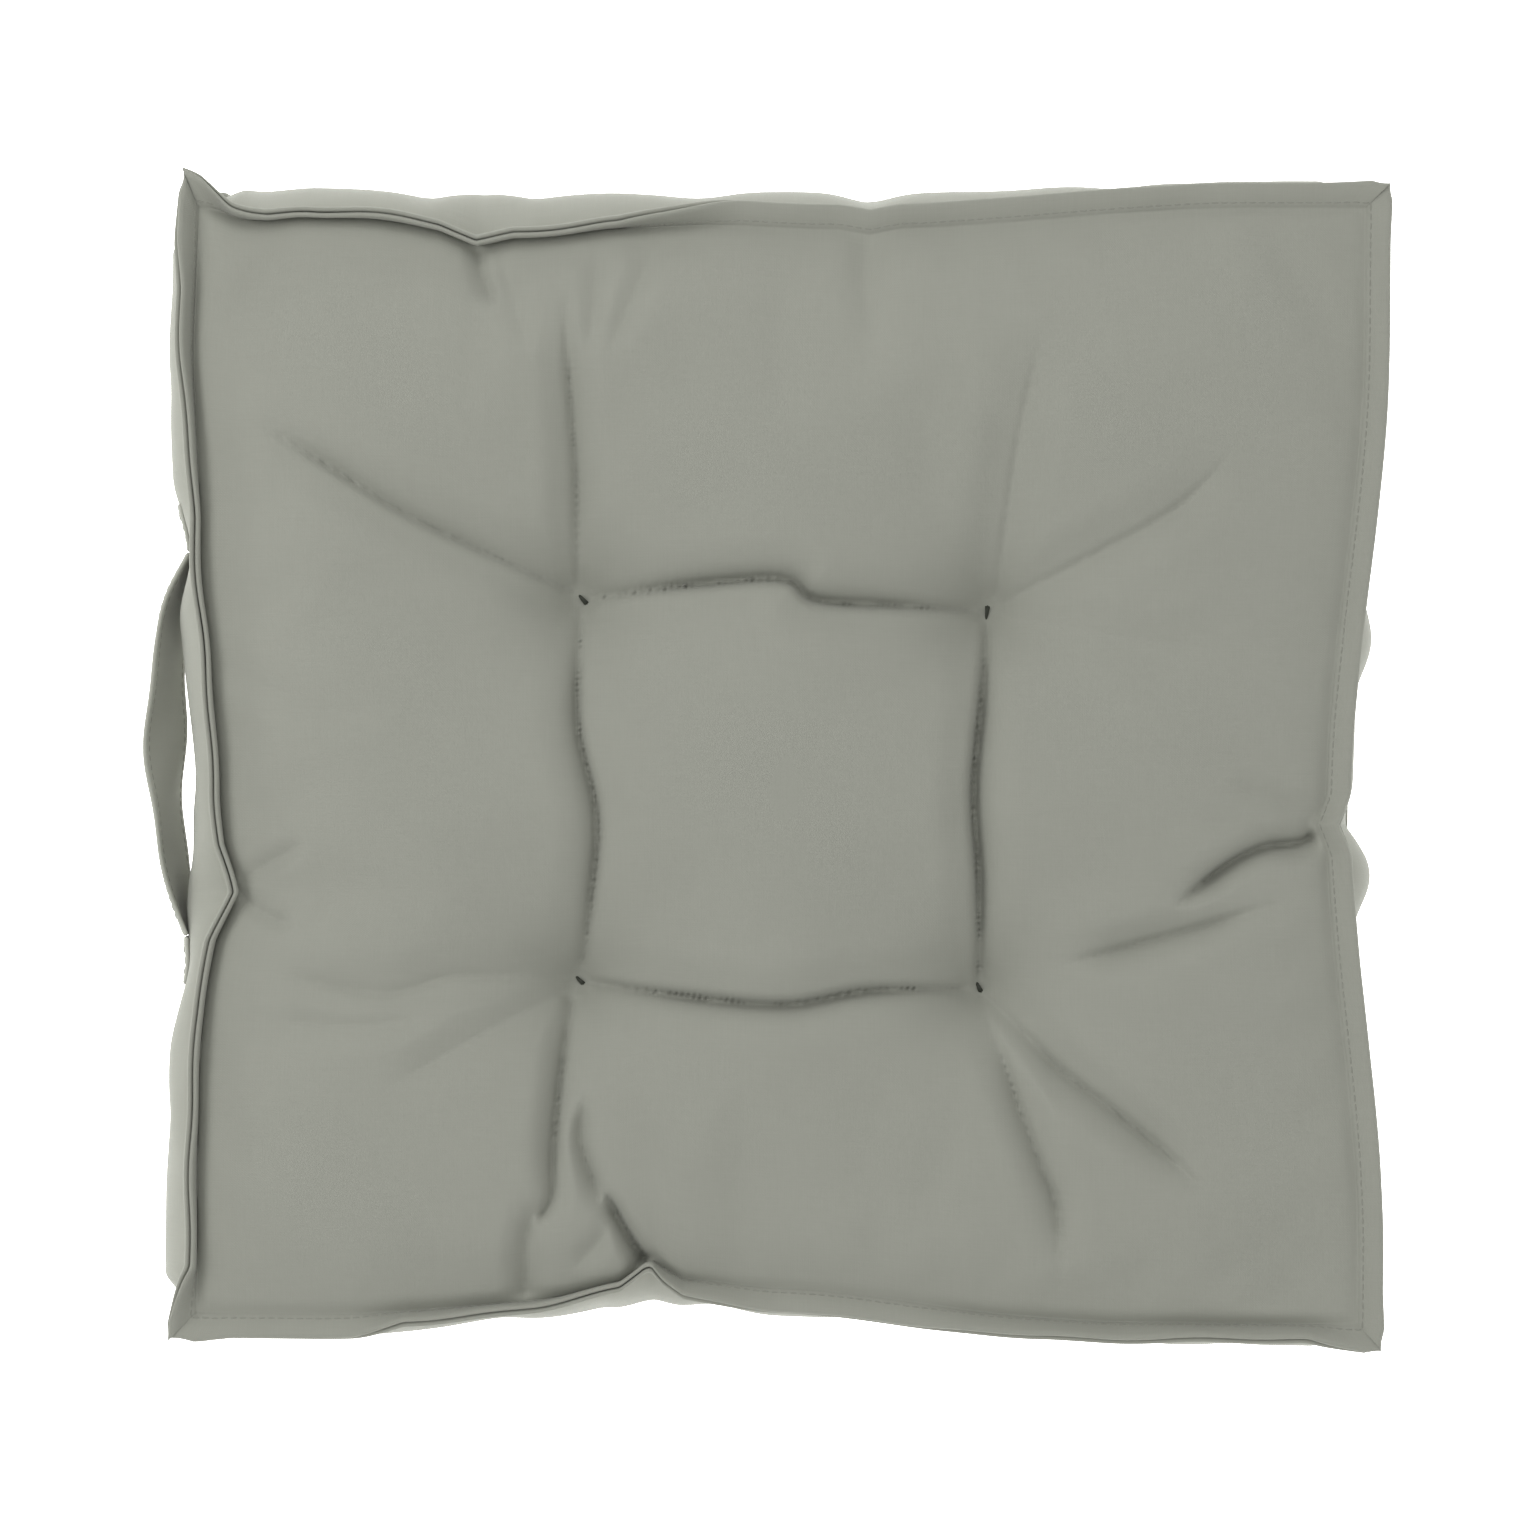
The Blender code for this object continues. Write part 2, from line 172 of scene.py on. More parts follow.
def side_line(side, corners, pulls, z, count=CELLS):
    """Points of one side of a seam, from its first corner to its second."""
    names = list(corners)
    first = SIDES.index(side)
    start, end = (np.array(corners[names[k % 4]]) for k in (first, first + 1))
    share = np.linspace(0, 1, count + 1)
    line = start + np.outer(share, end - start)
    along = line[:, 0] if side in ("front", "back") else line[:, 1]
    depth = np.zeros(count + 1)
    for place, deep, reach, kind in pulls[side]:
        near = np.clip(1 - np.abs(along - place * MM) / (reach * MM), 0, 1)
        depth += deep * MM * (smooth(near) if kind == 1 else near**1.15)
    depth *= corner_fade(share)
    line += np.outer(depth, INWARD[side])
    height = z + SEAM_WAVE * np.sin(share * 9 + first) * np.sin(share * math.pi)
    return np.column_stack([line, height])


top_seam = {side: side_line(side, TOP_CORNERS, TOP_PULLS, TOP_Z) for side in SIDES}
bottom_seam = {side: side_line(side, BOTTOM_CORNERS, BOTTOM_PULLS, BOTTOM_Z) for side in SIDES}
print("seam points:", sum(len(line) for line in top_seam.values()))

# %% [markdown]
# ## The flat panels
#
# A panel is a sheet hung between its four seam lines. Each point takes a mix of the corners, and
# the pulls of a side fade away quickly as the cloth runs inwards. A crown lifts the middle, and
# each tie draws a dimple.

# %% Panel surfaces
TUFTS = {
    "back_left": (-74 * MM, 60 * MM),
    "back_right": (77 * MM, 55.5 * MM),
    "front_left": (-75 * MM, -82.5 * MM),
    "front_right": (74 * MM, -85 * MM),
}
PULL_FADE = 5  # the higher, the sooner the pulls of a side fade away inwards
TUFT_Z = 54 * MM
TUFT_UNDER_Z = 17 * MM
DIMPLE_REACH = 50 * MM
UNDER_DIMPLE_REACH = 42 * MM
CROWN = 13 * MM
SHOULDER_REACH = 4 * MM
SHOULDER_LIMIT = 7 * MM
FLOOR_EDGE = 0.11  # the share of the bottom panel's width over which it comes down to the floor
# how far the cloth rises just inside the seam, at places along each side (its X or Y), all in mm
SHOULDERS = {
    "front": [(-218, 2), (-140, 4), (-50, 6), (-15, 3), (215, 4)],
    "right": [(-212, 1), (-24, 3), (206, 1)],
    "back": [(-217, 5), (-60, 6), (0, 2.5), (218, 2)],
    "left": [(-206, 5), (206, 6)],
}


def hung(seam, cells=CELLS):
    """The x, y and z of a sheet between four seam lines, as an array of rows x columns x 3."""
    share = np.linspace(0, 1, cells + 1)
    u, v = np.meshgrid(share, share)
    u, v = u[..., None], v[..., None]
    front, right = seam["front"], seam["right"]
    back, left = seam["back"][::-1], seam["left"][::-1]
    corners = front[0], front[-1], back[0], back[-1]
    near, far = ((1 - u) * start + u * end for start, end in (corners[:2], corners[2:]))
    flat = (1 - v) * near + v * far

    def bow(line, start, end):
        return line - (start + np.outer(share, end - start))

    flat += (1 - v) ** PULL_FADE * bow(front, corners[0], corners[1])[None]
    flat += v**PULL_FADE * bow(back, corners[2], corners[3])[None]
    flat += (1 - u) ** PULL_FADE * bow(left, corners[0], corners[2])[:, None]
    flat += u**PULL_FADE * bow(right, corners[1], corners[3])[:, None]
    return flat, u[..., 0], v[..., 0]


def tuft_distance(places):
    """Distance in plan of each point from the nearest tie."""
    far = [np.hypot(places[..., 0] - x, places[..., 1] - y) for x, y in TUFTS.values()]
    return np.min(far, axis=0)


def edge_share(u, v, power):
    """1 in the middle of a sheet and 0 along its rim."""
    return (1 - np.abs(2 * u - 1) ** power) * (1 - np.abs(2 * v - 1) ** power)


def shoulders(places):
    """The rise just inside the seams: the lowest of the four sides' own rises."""
    edges = {
        "front": places[:1],
        "right": places[:, -1:],
        "back": places[-1:],
        "left": places[:, :1],
    }
    rises = []
    for side, edge in edges.items():
        along, across = (0, 1) if side in ("front", "back") else (1, 0)
        inside = np.abs(places[..., across] - edge[..., across])
        rise = np.interp(places[..., along] / MM, *zip(*SHOULDERS[side], strict=True)) * MM
        rises.append(rise * (1 - np.exp(-inside / SHOULDER_REACH)) + inside * 0.05)
    return np.minimum(np.min(rises, axis=0), SHOULDER_LIMIT)


top, top_u, top_v = hung(top_seam)
top[..., 2] += CROWN * edge_share(top_u, top_v, 2.6) + shoulders(top)
pull = np.clip(1 - tuft_distance(top) / DIMPLE_REACH, 0, 1) ** 2.2
top[..., 2] += (TUFT_Z - top[..., 2]) * pull

bottom, bottom_u, bottom_v = hung(bottom_seam)
inside = np.minimum(np.minimum(bottom_u, 1 - bottom_u), np.minimum(bottom_v, 1 - bottom_v))
bottom[..., 2] *= np.clip(1 - inside / FLOOR_EDGE, 0, 1) ** 2
pull = np.clip(1 - tuft_distance(bottom) / UNDER_DIMPLE_REACH, 0, 1) ** 1.7
bottom[..., 2] += (TUFT_UNDER_Z - bottom[..., 2]) * pull
print("panels:", top.shape[0], "by", top.shape[1], "points")

# %% [markdown]
# ## Blowing up the cover
#
# Real covers are cut a little larger than the filling, so the cloth has to fold somewhere. Here
# the top and the four boxing strips grow by about a percent under a gentle pressure, with their
# seams and ties held still. The simulation finds the puckers that nobody would think of placing.


# %% Cloth simulation
FRAMES = 18
TIE_HOLD = 5 * MM  # the cloth is held still as far as this from each tie
EVENING = 4  # how many times the found movements are averaged


def cloth_settings(piece, pressure, growth):
    """Gives the piece a Cloth modifier held by its vertex group named held."""
    settings = piece.modifiers.new("cloth", "CLOTH").settings
    settings.quality = 6
    settings.mass = 0.25
    settings.tension_stiffness = settings.compression_stiffness = 30
    settings.shear_stiffness = 8
    settings.bending_stiffness = 0.6
    settings.air_damping = 3
    settings.vertex_group_mass = "held"
    settings.use_pressure = True
    settings.uniform_pressure_force = pressure
    settings.shrink_min = -growth
    settings.effector_weights.gravity = 0


def evened(moved, times):
    """The same movements with their smallest ripples averaged away, and none along the rim."""
    for _ in range(times):
        inner = moved[1:-1, 1:-1]
        around = moved[:-2, 1:-1] + moved[2:, 1:-1] + moved[1:-1, :-2] + moved[1:-1, 2:]
        moved = moved.copy()
        moved[1:-1, 1:-1] = (inner * 2 + around) / 6
    return moved


def blown_up(places, held, pressure, growth, cap):
    """The places after a short cloth simulation, moved by no more than the cap.

    held is a mask of the points that stay put, and growth is the share by which the cloth grows.
    """
    bm = bmesh.new()
    add_grid(bm, places, places[..., :2])
    piece = finish_mesh("blowing_up", bm)
    group = piece.vertex_groups.new(name="held")
    group.add([int(k) for k in np.flatnonzero(held)], 1, "REPLACE")
    cloth_settings(piece, pressure, growth)
    for step in range(1, FRAMES + 1):
        bpy.context.scene.frame_set(step)
    shown = piece.evaluated_get(bpy.context.evaluated_depsgraph_get()).to_mesh()
    found = np.empty(places.size)
    shown.vertices.foreach_get("co", found)
    bpy.data.objects.remove(piece)
    bpy.context.scene.frame_set(1)
    moved = evened(found.reshape(places.shape) - places, EVENING)
    far = np.linalg.norm(moved, axis=2, keepdims=True)
    return places + moved * np.minimum(1, cap / np.maximum(far, 1e-9))


def rim(places):
    """A mask of a grid's outermost points."""
    mask = np.zeros(places.shape[:2], bool)
    mask[[0, -1], :] = mask[:, [0, -1]] = True
    return mask


held = rim(top) | (tuft_distance(top) < TIE_HOLD)
top = blown_up(top, held, pressure=3.5, growth=0.009, cap=12 * MM)
print("top panel blown up to", round(top[..., 2].max() * 1000), "mm")

# %% [markdown]
# ## The boxing
#
# Four strips stand between the two seams. Each is taller than the gap between them, so it bulges
# out past its seams. Each corner seam holds the ends of two strips together.

# %% Boxing strips
BOXING_ROWS = 14
BOXING_BULGES = {"front": 9.5 * MM, "right": 9.5 * MM, "back": 12.5 * MM, "left": 13 * MM}
# where along the side, how deep and how wide the boxing is drawn in, or let out where the depth is
# negative, all in mm
BOXING_PINCHES = {
    "front": [(-48, -1.5, 30), (-100, 2.5, 60)],
    "right": [(-18, 1, 12), (-43, -6.5, 24), (45, -4, 22)],
    "back": [(-113, -3, 22), (-80, -3, 60), (33, 1, 20)],
    "left": [(80, 6, 28), (5, 3, 70), (-48, -2.5, 18), (-80, 3, 30)],
}


def boxing_sheet(side):
    """A bulged strip from the bottom seam up to the top seam."""
    low, high = bottom_seam[side], top_seam[side]
    rise = np.linspace(0, 1, BOXING_ROWS + 1)[:, None, None]
    sheet = low[None] * (1 - rise) + high[None] * rise
    share = np.linspace(0, 1, CELLS + 1)
    ends = corner_fade(share)
    out = BOXING_BULGES[side] * (1 - np.abs(2 * rise[..., 0] - 1) ** 2.2) * (0.25 + 0.75 * ends)
    along = high[:, 0] if side in ("front", "back") else high[:, 1]
    for place, deep, reach in BOXING_PINCHES[side]:
        out -= deep * MM * bump(along - place * MM, reach * MM) * np.sin(math.pi * rise[..., 0])
    sheet[..., :2] -= out[..., None] * np.array(INWARD[side])
    return sheet


boxing = {side: boxing_sheet(side) for side in SIDES}
for side, other in zip(SIDES, SIDES[1:] + SIDES[:1], strict=True):
    shared = (boxing[side][:, -1] + boxing[other][:, 0]) / 2
    boxing[side][:, -1] = boxing[other][:, 0] = shared
for side in SIDES:
    held = rim(boxing[side])
    boxing[side] = blown_up(boxing[side], held, pressure=2.5, growth=0.012, cap=6 * MM)
print("boxing strips:", len(boxing))

# %% [markdown]
# ## A finer cloth
#
# The simulated grids are coarse, so each is drawn again through the same points with a smooth
# curve, two to four times as fine. Only then are there enough vertices for a sharp crease.


# %% Finer grids
TOP_FINER = 4  # how many rows and columns of the finer top panel take the place of one
BOTTOM_FINER = 3
DRAWN_ROWS = 5  # how many rows next to an edge follow it to the exact seam


def finer(places, factor):
    """More rows on a smooth curve through the old ones."""
    ends = 2 * places[:1] - places[1:2], 2 * places[-1:] - places[-2:-1]
    line = np.concatenate([ends[0], places, ends[1]])
    a, b, c, d = line[:-3], line[1:-2], line[2:-1], line[3:]
    between = []
    for t in np.arange(factor) / factor:
        bend, turn = 2 * a - 5 * b + 4 * c - d, 3 * b - a - 3 * c + d
        between.append((2 * b + (c - a) * t + bend * t**2 + turn * t**3) / 2)
    return np.concatenate([np.stack(between, axis=1).reshape(-1, *places.shape[1:]), places[-1:]])


def finer_sheet(places, rows, columns):
    """More rows and more columns of the same sheet."""
    return finer(finer(places, rows).swapaxes(0, 1), columns).swapaxes(0, 1)


def drawn_to(rows, line):
    """Moves the first row of points onto a line, and the next few a little less."""
    gap = line - rows[0]
    for k in range(DRAWN_ROWS):
        rows[k] += gap * (1 - k / DRAWN_ROWS) ** 1.5


def sharpened(sheet, corners, pulls, z):
    """Moves a panel's edges onto the seam's sharp kinks."""
    lines = {side: side_line(side, corners, pulls, z, len(sheet) - 1) for side in SIDES}
    drawn_to(sheet, lines["front"])
    drawn_to(sheet[::-1], lines["back"][::-1])
    turned = sheet.swapaxes(0, 1)
    drawn_to(turned, lines["left"][::-1])
    drawn_to(turned[::-1], lines["right"])


top_line = TOP_CORNERS, TOP_PULLS, TOP_Z
bottom_line = BOTTOM_CORNERS, BOTTOM_PULLS, BOTTOM_Z
top = finer_sheet(top, TOP_FINER, TOP_FINER)
bottom = finer_sheet(bottom, BOTTOM_FINER, BOTTOM_FINER)
sharpened(top, *top_line)
sharpened(bottom, *bottom_line)
for side in SIDES:
    boxing[side] = finer_sheet(boxing[side], 2, TOP_FINER)
    drawn_to(boxing[side][::-1], side_line(side, *top_line, CELLS * TOP_FINER))
    drawn_to(boxing[side], side_line(side, *bottom_line, CELLS * TOP_FINER))
print("top panel:", top.shape[0], "by", top.shape[1], "points")

# %% [markdown]
# ## Pressing in the creases
#
# The ties gather the cloth, which folds along the lines between them and fans out towards the
# seams. A crease is a soft trough with a narrow fold at its bottom. It has a route, a depth, a
# reach to each side, the share of its depth that is fold, and how strong it is at its two ends.

# %% Creases of the top panel
# route (X and Y), depth and reach in mm, share of fold, strength at the start and at the end
CREASES = [
    ([(77, 55.5), (44, 57), (13, 59), (1, 66.5), (-30, 65), (-74, 60)], 15, 19, 0.72, 0.35, 0.35),
    ([(-74, 60), (-75, 15), (-68, -20), (-70, -50), (-75, -82)], 13, 18, 0.72, 0.3, 0.45),
    ([(74, -85), (73, -45), (71, -11), (74, 22), (77, 55)], 17, 18, 0.76, 0.45, 0.3),
    ([(-75, -82), (-45, -86), (0, -90), (33, -85), (74, -85)], 14, 19, 0.74, 0.4, 0.35),
    ([(-78, 63), (-116, 80), (-142, 93), (-171, 111), (-200, 128)], 10, 19, 0.5, 0.6, 0.0),
    ([(-76, 66), (-76, 104), (-79, 150), (-80, 168)], 9, 15, 0.5, 0.5, 0.2),
    ([(-104, 188), (-98, 168), (-92, 148)], 2.2, 10, 0.3, 0.3, 0.1),
    ([(-67, 192), (-69, 168), (-72, 145)], 2.6, 10, 0.3, 0.2, 0.3),
    ([(-46, 192), (-54, 172), (-64, 148)], 2.4, 10, 0.3, 0.3, 0.1),
    ([(80, 62), (87, 115), (98, 165)], 5, 20, 0.3, 0.8, 0.0),
    ([(82, 59), (119, 78), (148, 95), (170, 118)], 5.5, 18, 0.4, 0.7, 0.0),
    ([(84, 53), (130, 45), (172, 39)], 2.5, 18, 0.2, 0.9, 0.0),
    ([(-80, -81), (-119, -80), (-149, -86), (-198, -76)], 5, 18, 0.4, 0.6, 0.0),
    ([(-120, -92), (-155, -98), (-196, -96)], 3, 13, 0.3, 0.0, 0.0),
    ([(-80, -86), (-115, -104), (-150, -124)], 3.5, 16, 0.3, 0.7, 0.0),
    ([(-78, -90), (-81, -112), (-84, -142), (-84.5, -160), (-88, -168)], 11, 12, 0.68, 0.5, 0.7),
    ([(-90, -160), (-95, -180), (-95, -203)], 6, 11, 0.5, 0.3, 0.6),
    ([(-72, -122), (-74, -140), (-69, -157), (-65, -169)], 7.5, 9, 0.6, 0.1, 0.3),
    ([(-66, -157), (-62, -166), (-58.5, -173), (-53.5, -182), (-49, -189)], 13, 8, 0.75, 0.1, 1.0),
    ([(-54, -182), (-50, -188), (-47, -194)], 9, 6, 0.7, 0.0, 1.0),
    ([(-62, -160), (-66, -176), (-78, -190)], 2.5, 9, 0.3, 0.3, 0.1),
    ([(78, -89), (88, -99), (104, -115), (121, -128), (142, -145), (162, -164)], 10, 16, 0.5, 0.4, 0.0),
    ([(76, -92), (80, -104), (88, -128), (96, -150), (102, -166), (104, -194)], 9, 14, 0.55, 0.2, 0.1),
    ([(100, -76), (142, -65), (160, -60), (182, -53)], 8, 13, 0.55, 0.0, 0.2),
    ([(142, -56), (155, -46), (168, -37), (180, -32), (194, -30), (206, -23)], 13, 11, 0.7, 0.0, 0.7),
    ([(196, -22), (180, -14), (160, -10)], 2.5, 10, 0.3, 0.6, 0.0),
    ([(-113, 196), (-111, 182), (-104, 165)], 4, 8, 0.6, 1.0, 0.0),
    ([(-202, -49), (-192, -56), (-178, -62)], 3, 9, 0.5, 1.0, 0.0),
    ([(-200, -44), (-188, -37), (-174, -29)], 2.5, 8, 0.4, 0.8, 0.0),
    ([(-206, 35), (-170, 20), (-140, 16)], 1.6, 14, 0.2, 0.3, 0.0),
    ([(33, 199), (31, 178), (35, 150)], 1.5, 12, 0.2, 1.0, 0.0),
]
CRISP_SIDE = 1.4 * MM  # half the width of a fold on the left of its route
SOFT_SIDE = 2.8 * MM  # and on the right
TIE_CLEAR = 9 * MM  # creases fade out as near as this to a tie
RIM_CLEAR = 0.011  # and over this share of the panel's width along its rim


def route_points(route, count=80):
    """A smooth curve through the route's points, with its share of the way at each point."""
    line = np.array(route, float) * MM
    curve = finer(line, count // (len(route) - 1))
    steps = np.linalg.norm(np.diff(curve, axis=0), axis=1)
    share = np.concatenate([[0], np.cumsum(steps)]) / steps.sum()
    return curve, share


def crease_depth(places, crease):
    """How deep the crease presses each point in."""
    route, deep, reach, fold, start, end = crease
    curve, share = route_points(route)
    near = np.linalg.norm(places[..., :2] - curve.mean(axis=0), axis=2)
    touched = near < np.ptp(curve, axis=0).max() + reach * MM
    offsets = places[touched][:, None, :2] - curve[None]
    distance = np.linalg.norm(offsets, axis=2)
    nearest = distance.argmin(axis=1)
    far = distance[np.arange(len(nearest)), nearest]
    along = share[nearest]
    way = np.gradient(curve, axis=0)[nearest]
    offset = offsets[np.arange(len(nearest)), nearest]
    on_left = way[:, 0] * offset[:, 1] - way[:, 1] * offset[:, 0] > 0
    width = np.where(on_left, CRISP_SIDE, SOFT_SIDE)
    from_start, from_end = smooth(along * 3), smooth(3 - along * 3)
    strength = (start + (1 - start) * from_start) * (end + (1 - end) * from_end)
    profile = (1 - fold) * bump(far, reach * MM) ** 1.25 + fold * np.exp(-((far / width) ** 1.2))
    depth = np.zeros(places.shape[:2])
    depth[touched] = deep * MM * strength * profile
    return depth


def pressed(places, creases):
    """Creases that meet don't add up: the deepest one wins, softly."""
    total = sum(crease_depth(places, crease) ** 3 for crease in creases) ** (1 / 3)
    total *= 1 - 0.85 * bump(tuft_distance(places), TIE_CLEAR)
    rows, columns = (np.arange(n) / (n - 1) for n in places.shape[:2])
    inside = np.minimum(np.minimum(columns, 1 - columns)[None], np.minimum(rows, 1 - rows)[:, None])
    shaped = places.copy()
    shaped[..., 2] -= total * smooth(inside / RIM_CLEAR)
    return shaped


top = pressed(top, CREASES)
print("creases:", len(CREASES))

# %% [markdown]
# ## The two lips of a flange
#
# Along each seam the panel and the boxing turn out side by side, with the stitching at the foot of
# the flange. Each lip is a folded edge of cloth, so it is swept along the seam as a rounded
# profile. On some stretches the flange lies flat, on others the ties have pulled it upright.

# %% Flanges
# (distance out of the seam, height off its middle) of a lip in mm, from the seam over its face and
# edge to its back
LIP_PROFILE = [(0, 0), (0.5, 0.75), (1.5, 0.65), (2.6, 1.2), (4.5, 1.7), (7, 2.05), (8.4, 1.95)]
LIP_PROFILE += [(9, 1.4), (9, 0.8), (8.4, 0.3), (4, 0.1), (0.4, 0.05)]
STITCH_STOP = 2  # the stop of the profile at which the flange is topstitched
CORNER_REACH = 13 * MM
EAR_TIP = 1.6 * MM  # an ear is blunt over this length of the seam at its corner
EAR_ROUNDING = 0.88  # a blunt ear ends this share of the way out to its sharp tip
# how far a corner's ear stands out past its two sides, as a share of the flange's width
EARS = {
    "front_left": {"left": 1.3, "front": 1.3},
    "front_right": {"front": 1.2, "right": 1.1},
    "back_right": {"right": 1.1, "back": 1.1},
    "back_left": {"back": 1.9, "left": 0.75},
}
# degrees from flat to upright, at places along each side (its X or Y in mm)
FRONT_TILTS = [(-218, 12), (-160, 14), (-140, 70), (-60, 86), (-50, 95), (-44, 66), (-30, 44)]
FRONT_TILTS += [(0, 16), (50, 26), (100, 50), (195, 58), (215, 10)]
TOP_TILTS = {
    "front": FRONT_TILTS,
    "right": [(-212, 10), (-180, 4), (-50, 4), (-24, 22), (-10, 4), (206, 3)],
    "back": [(-217, 22), (-205, 70), (-190, 88), (-60, 84), (-15, 12), (218, 6)],
    "left": [(-206, 12), (-188, 80), (-49, 88), (90, 90), (130, 72), (175, 58), (206, 22)],
}
BOTTOM_TILTS = {side: [(-220, 4), (-190, 24), (190, 24), (220, 4)] for side in SIDES}


def lip_frame(side, line, tilts):
    """For each point of a side: which way its flange stands out, and which way is up off it."""
    along = line[:, 0] if side in ("front", "back") else line[:, 1]
    tilt = np.radians(np.interp(along / MM, *zip(*tilts[side], strict=True)))
    tilt[1:-1] = np.convolve(tilt, np.ones(3) / 3, "valid")
    number = SIDES.index(side)
    tilt += np.radians(5) * np.sin(along / (9 * MM) + number) * np.sin(along / (31 * MM))
    away = -np.array([*INWARD[side], 0.0])
    flat = np.tile(away, (len(line), 1))
    for end, corner, other in ((0, number, number - 1), (-1, (number + 1) % 4, (number + 1) % 4)):
        near = 1 - smooth((np.linalg.norm(line - line[end], axis=1) - EAR_TIP) / CORNER_REACH)
        ear = EARS[list(EARS)[corner]]
        aside = -np.array([*INWARD[SIDES[other]], 0.0]) * ear[SIDES[other]]
        flat += np.outer(near, aside + away * (ear[side] - 1))
        longest = EAR_ROUNDING * math.hypot(*ear.values())
        flat *= np.minimum(1, longest / np.linalg.norm(flat, axis=1, keepdims=True))
    level = flat / np.linalg.norm(flat, axis=1, keepdims=True)
    up = np.array([0, 0, 1.0])
    out = np.cos(tilt)[:, None] * flat + np.sin(tilt)[:, None] * up
    off = np.cos(tilt)[:, None] * up - np.sin(tilt)[:, None] * level
    return out, off


def lip(side, line, tilts, face):
    """A lip's sheet along one side. face is 1 for the panel's lip and -1 for the boxing's."""
    out, off = lip_frame(side, line, tilts)
    rows = [line + reach * MM * out + face * thick * MM * off for reach, thick in LIP_PROFILE]
    return np.stack(rows)


def measured(places):
    """Each point's own place on the flat cloth, for the weave, as rows x columns x 2."""
    across = np.linalg.norm(np.diff(places, axis=1), axis=2).mean(axis=0)
    down = np.linalg.norm(np.diff(places, axis=0), axis=2).mean(axis=1)
    u = np.concatenate([[0], np.cumsum(across)])
    v = np.concatenate([[0], np.cumsum(down)])
    return np.stack(np.meshgrid(u, v), axis=2)


def edge_of(sheet, side):
    """The line of a panel's edge along one side, in the ring's order."""
    lines = {
        "front": sheet[0],
        "right": sheet[:, -1],
        "back": sheet[-1, ::-1],
        "left": sheet[::-1, 0],
    }
    return lines[side]


def panel_piece(name, sheet, tilts, face):
    """A panel with its lip all round."""
    bm = bmesh.new()
    add_grid(bm, sheet, measured(sheet))
    for side in SIDES:
        strip = lip(side, edge_of(sheet, side), tilts, face)
        add_grid(bm, strip, measured(strip))
    return finish_mesh(name, bm, weld=0.01 * MM)


def boxing_piece(side):
    """A boxing strip with its lip at both seams."""
    sheet = boxing[side]
    bm = bmesh.new()
    add_grid(bm, sheet, measured(sheet))
    for line, tilts, face in ((sheet[-1], TOP_TILTS, -1), (sheet[0], BOTTOM_TILTS, 1)):
        strip = lip(side, line, tilts, face)
        add_grid(bm, strip, measured(strip))
    return finish_mesh(f"boxing_{side}_cloth", bm, weld=0.01 * MM)


top_piece = panel_piece("top_panel_cloth", top, TOP_TILTS, 1)
bottom_piece = panel_piece("bottom_panel_cloth", bottom, BOTTOM_TILTS, -1)
boxing_pieces = {side: boxing_piece(side) for side in SIDES}
print("faces of the top panel:", len(top_piece.data.polygons))

# %% [markdown]
# ## Cloth, thread, foam and fibre
#
# One small class turns shader sums into plain arithmetic, so that a material reads like a formula.
# The cover is a fine plain weave: its height is a product of two waves, one for each set of
# threads, and a stretched noise makes some yarns a little thicker and paler than others.


# %% Shader helpers
class Amount:
    """A shader value that can be added and multiplied, on either side of the sign."""

    def __init__(self, tree, socket):
        self.tree = tree
        self.socket = socket

    def worked(self, operation, other):
        node = self.tree.nodes.new("ShaderNodeMath")
        node.operation = operation
        for socket, value in zip(node.inputs, (self, other), strict=False):
            if isinstance(value, Amount):
                self.tree.links.new(value.socket, socket)
            else:
                socket.default_value = value
        return Amount(self.tree, node.outputs[0])

    def __add__(self, other):
        return self.worked("ADD", other)

    def __mul__(self, other):
        return self.worked("MULTIPLY", other)

    __radd__, __rmul__ = __add__, __mul__

    def sine(self):
        return self.worked("SINE", 0)


class Shader:
    """A material's node tree, with one method that makes any node."""

    def __init__(self, name):
        self.material = bpy.data.materials.new(name)
        self.material.use_nodes = True
        self.tree = self.material.node_tree
        self.surface = self.tree.nodes["Principled BSDF"]

    def node(self, kind, settings=None, inputs=None):
        """A new node with its own settings and what goes into its sockets."""
        made = self.tree.nodes.new(kind)
        for key, value in (settings or {}).items():
            setattr(made, key, value)
        for key, value in (inputs or {}).items():
            self.feed(made.inputs[key], value)
        return made

    def feed(self, socket, value):
        """A socket takes a constant, an Amount or another node's socket."""
        if isinstance(value, Amount):
            value = value.socket
        if isinstance(value, bpy.types.NodeSocket):
            self.tree.links.new(value, socket)
        else:
            socket.default_value = value

    def amount(self, socket):
        return Amount(self.tree, socket)

    def finish(self, **inputs):
        """Feeds the surface and gives back the finished material."""
        for key, value in inputs.items():
            self.feed(self.surface.inputs[key.replace("_", " ")], value)
        return self.material


def plain(name, colour, roughness):
    """A material of one even colour."""
    return Shader(name).finish(Base_Color=(*colour, 1), Roughness=roughness)


# %% Woven cloth
THREAD_PITCH = 0.62 * MM
THREAD_RELIEF = 0.12 * MM
UNEVENNESS = 0.12
COVER_COLOUR = (0.290, 0.296, 0.256)
# the strap is the same cloth as the cover, but its colour is painted about a third lighter: painted
# light that stands in for the light its face, shaded by the pad, gets too little of
STRAP_COLOUR_PAINTED_LIGHTER = (0.385, 0.391, 0.345)


